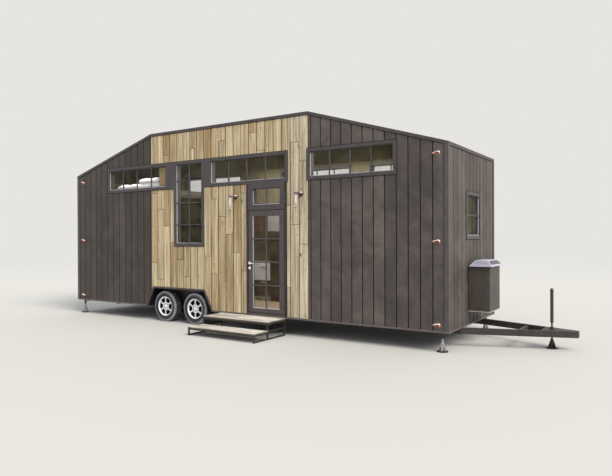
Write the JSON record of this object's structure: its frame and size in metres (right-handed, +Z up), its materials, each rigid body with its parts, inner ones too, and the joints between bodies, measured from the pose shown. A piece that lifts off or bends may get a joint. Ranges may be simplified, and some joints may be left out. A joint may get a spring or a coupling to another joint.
{
  "type": "tiny house on a two-axle trailer",
  "caption": "Timber tiny house on a trailer: sloping roof ends, dark and oak boards, glazed door, strip windows, drawbar, jacks, storage box and steps.",
  "frame": {"origin": "on the ground, under the middle of the whole object's box", "axes": "+X along the house towards the drawbar's tip, -Y out of the side with the door, +Z up"},
  "size_m": [10.696, 3.4999, 3.986],
  "materials": {
    "chassis_steel": "satin black paint",
    "floor_wood": "oiled boards",
    "dark_boards": "charcoal stained boards",
    "oak_boards": "natural oak boards",
    "roof_metal": "matt sheet",
    "trim_metal": "satin dark grey",
    "window_glass": "clear, slightly grey",
    "lamp_glass": "clear",
    "lever_metal": "satin",
    "lamp_metal": "dark polished",
    "tyre_rubber": "dusty rubber",
    "alloy": "machined and painted",
    "box_metal": "satin paint",
    "lid_metal": "light grey paint",
    "step_steel": "black paint",
    "step_wood": "weathered boards",
    "loft_wood": "oiled board",
    "bedding": "white cotton",
    "kitchen_white": "white satin",
    "kitchen_wood": "dark veneer"
  },
  "bodies": {
    "house": {"chassis_frame": "chassis_steel", "drawbar": "chassis_steel", "jack_sockets": "chassis_steel", "tongue_jack_collar": "chassis_steel", "axles": "chassis_steel", "floor_deck": "floor_wood", "front_wall_rear": "dark_boards", "front_wall_oak": "oak_boards", "front_wall_over_door": "oak_boards", "front_wall_by_door": "oak_boards", "front_wall_front": "dark_boards", "back_wall_rear": "dark_boards", "back_wall_oak": "oak_boards", "back_wall_front": "dark_boards", "end_wall_front": "dark_boards", "end_wall_rear": "dark_boards", "roof_rear_slope": "roof_metal", "roof_flat": "roof_metal", "roof_front_slope": "roof_metal", "roof_trim": "trim_metal", "corner_trims": "trim_metal", "base_rails": "trim_metal", "band_panels": "trim_metal", "window_frames": "trim_metal", "window_glass": "window_glass", "door_frame": "trim_metal", "door_hinges": "trim_metal", "wheel_arches": "trim_metal", "storage_box": "box_metal", "step_frame": "step_steel", "upper_step": "step_wood", "lower_step": "step_wood", "marker_lamps": "lamp_metal", "wall_lamps": "lamp_metal", "wall_lamp_glass": "lamp_glass", "loft_floor": "loft_wood", "mattress": "bedding", "pillows": "bedding", "loft_screen": "loft_wood", "base_cabinets": "kitchen_white", "tall_cabinet": "kitchen_wood", "wall_units": "kitchen_wood"},
    "door": {"door_leaf": "trim_metal", "door_glass": "window_glass"},
    "lever": {"door_lever": "lever_metal"},
    "box_lid": {"storage_lid": "lid_metal"},
    "tongue_jack_leg": {"tongue_jack": "chassis_steel"},
    "wheel_near_front": {"tyre_near_front": "tyre_rubber", "rim_near_front": "alloy"},
    "wheel_near_rear": {"tyre_near_rear": "tyre_rubber", "rim_near_rear": "alloy"},
    "corner_leg_near_front": {"corner_jack_near_front": "chassis_steel"},
    "corner_leg_near_rear": {"corner_jack_near_rear": "chassis_steel"},
    "wheel_far_front": {"tyre_far_front": "tyre_rubber", "rim_far_front": "alloy"},
    "wheel_far_rear": {"tyre_far_rear": "tyre_rubber", "rim_far_rear": "alloy"},
    "corner_leg_far_front": {"corner_jack_far_front": "chassis_steel"},
    "corner_leg_far_rear": {"corner_jack_far_rear": "chassis_steel"}
  },
  "joints": [
    {"name": "door_swing", "type": "hinge", "parent": "house", "child": "door", "pos_m": [0.677, -0.8445, 1.3], "axis": [0, 0, 1], "range_deg": [0, 100]},
    {"name": "lever_turn", "type": "hinge", "parent": "door", "child": "lever", "pos_m": [-0.1005, -0.828, 1.29], "axis": [0, 1, 0], "range_deg": [0, 40], "stiffness_Nm_per_rad": 2, "springref_deg": -20.05},
    {"name": "lid_swing", "type": "hinge", "parent": "house", "child": "box_lid", "pos_m": [3.738, 0.452, 1.29], "axis": [0, -1, 0], "range_deg": [0, 50]},
    {"name": "tongue_jack_slide", "type": "slide", "parent": "house", "child": "tongue_jack_leg", "axis": [0, 0, 1], "range_m": [0, 0.04]},
    {"name": "wheel_near_front_spin", "type": "hinge", "parent": "house", "child": "wheel_near_front", "pos_m": [-1.588, -0.698, 0.322], "axis": [0, 1, 0], "continuous": true},
    {"name": "wheel_near_rear_spin", "type": "hinge", "parent": "house", "child": "wheel_near_rear", "pos_m": [-2.444, -0.698, 0.322], "axis": [0, 1, 0], "continuous": true},
    {"name": "corner_jack_near_front_slide", "type": "slide", "parent": "house", "child": "corner_leg_near_front", "axis": [0, 0, 1], "range_m": [0, 0.045]},
    {"name": "corner_jack_near_rear_slide", "type": "slide", "parent": "house", "child": "corner_leg_near_rear", "axis": [0, 0, 1], "range_m": [0, 0.045]},
    {"name": "wheel_far_front_spin", "type": "hinge", "parent": "house", "child": "wheel_far_front", "pos_m": [-1.588, 1.602, 0.322], "axis": [0, 1, 0], "continuous": true},
    {"name": "wheel_far_rear_spin", "type": "hinge", "parent": "house", "child": "wheel_far_rear", "pos_m": [-2.444, 1.602, 0.322], "axis": [0, 1, 0], "continuous": true},
    {"name": "corner_jack_far_front_slide", "type": "slide", "parent": "house", "child": "corner_leg_far_front", "axis": [0, 0, 1], "range_m": [0, 0.045]},
    {"name": "corner_jack_far_rear_slide", "type": "slide", "parent": "house", "child": "corner_leg_far_rear", "axis": [0, 0, 1], "range_m": [0, 0.045]}
  ]
}
